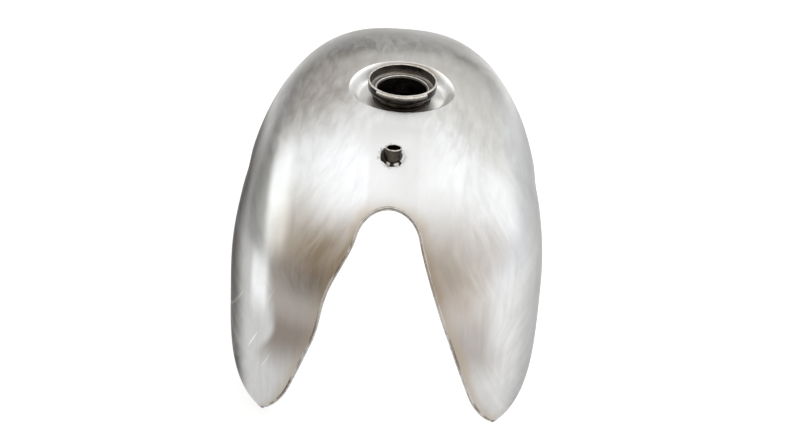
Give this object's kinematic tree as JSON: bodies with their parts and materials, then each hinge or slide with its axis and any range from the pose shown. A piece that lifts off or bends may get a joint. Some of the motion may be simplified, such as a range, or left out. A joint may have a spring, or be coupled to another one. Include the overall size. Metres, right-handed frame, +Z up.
{
  "type": "motorcycle fuel tank",
  "caption": "Bare steel saddle-shaped motorcycle fuel tank with a frame tunnel, two hanging lobes, a dished bayonet filler and a short vent spigot.",
  "frame": {"origin": "on the floor, under the middle of the tank's bounding box", "axes": "+Z up, +Y from the nose towards the tail, +X to the rider's right"},
  "size_m": [0.282, 0.5519, 0.2871],
  "materials": {
    "body_steel": "hand-sanded bare steel",
    "pan_steel": "unpolished bare steel",
    "weld_steel": "heat-tinted weld metal",
    "filler_steel": "turned and lightly oxidised steel",
    "boss_steel": "turned steel"
  },
  "bodies": {
    "root": {"shell_left": "body_steel", "floor_plate_left": "pan_steel", "floor_weld_left": "weld_steel", "mount_boss_front_left": "boss_steel", "mount_boss_rear_left": "boss_steel", "tap_boss_left": "boss_steel", "shell_right": "body_steel", "floor_plate_right": "pan_steel", "floor_weld_right": "weld_steel", "mount_boss_front_right": "boss_steel", "mount_boss_rear_right": "boss_steel", "tap_boss_right": "boss_steel", "crown_seam_front": "body_steel", "crown_seam_middle": "body_steel", "crown_seam_rear": "body_steel", "tunnel_pan": "pan_steel", "arch_weld_front": "weld_steel", "arch_weld_rear": "weld_steel", "baffle_front": "pan_steel", "baffle_rear": "pan_steel", "filler_recess": "body_steel", "filler_neck_tube": "filler_steel", "bayonet_ring": "filler_steel", "gasket_seat": "filler_steel", "neck_weld": "weld_steel", "vent_spigot": "filler_steel", "vent_weld": "weld_steel"}
  },
  "joints": []
}
